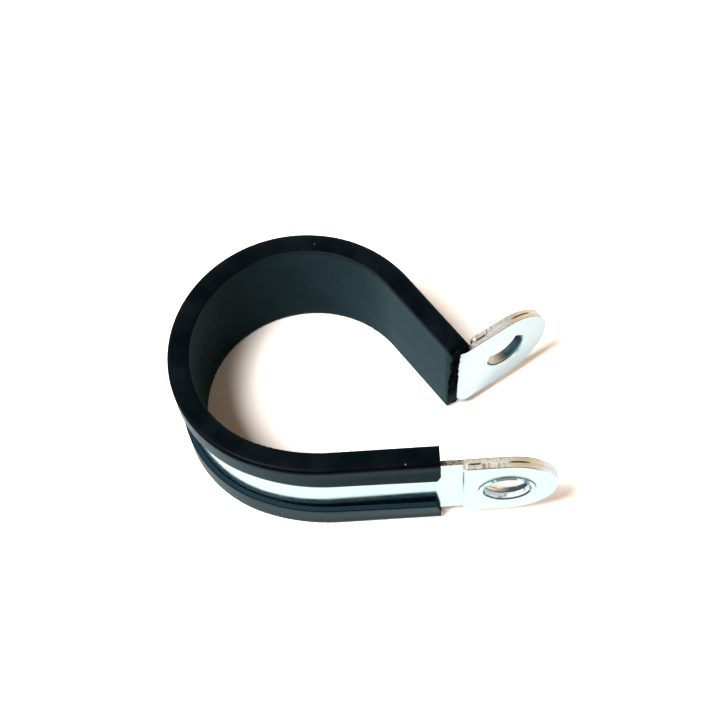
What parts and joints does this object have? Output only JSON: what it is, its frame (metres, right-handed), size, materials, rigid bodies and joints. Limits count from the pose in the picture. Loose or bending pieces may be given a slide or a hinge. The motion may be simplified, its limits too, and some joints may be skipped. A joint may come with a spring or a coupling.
{
  "type": "cushioned clamp",
  "caption": "Bent metal strap clamp with an open round loop lined by a rubber channel, and an ear with a bolt hole and a doubling plate at each end.",
  "frame": {"origin": "on the axis of the round cable seat, halfway across the clamp's width", "axes": "+Z along the axis of the cable seat, straight up as the clamp lies on its rim; +X out along the lower, straight ear; the strap bends up through +Y"},
  "size_m": [0.0574, 0.041, 0.0194],
  "materials": {
    "zinc_plated_strap": "zinc plated, satin",
    "black_rubber": "matt extruded rubber",
    "zinc_plated_plate": "zinc plated, satin"
  },
  "bodies": {
    "root": {"steel_strap": "zinc_plated_strap", "rubber_cushion": "black_rubber", "lower_ear_plate": "zinc_plated_plate", "upper_ear_plate": "zinc_plated_plate"}
  },
  "joints": []
}
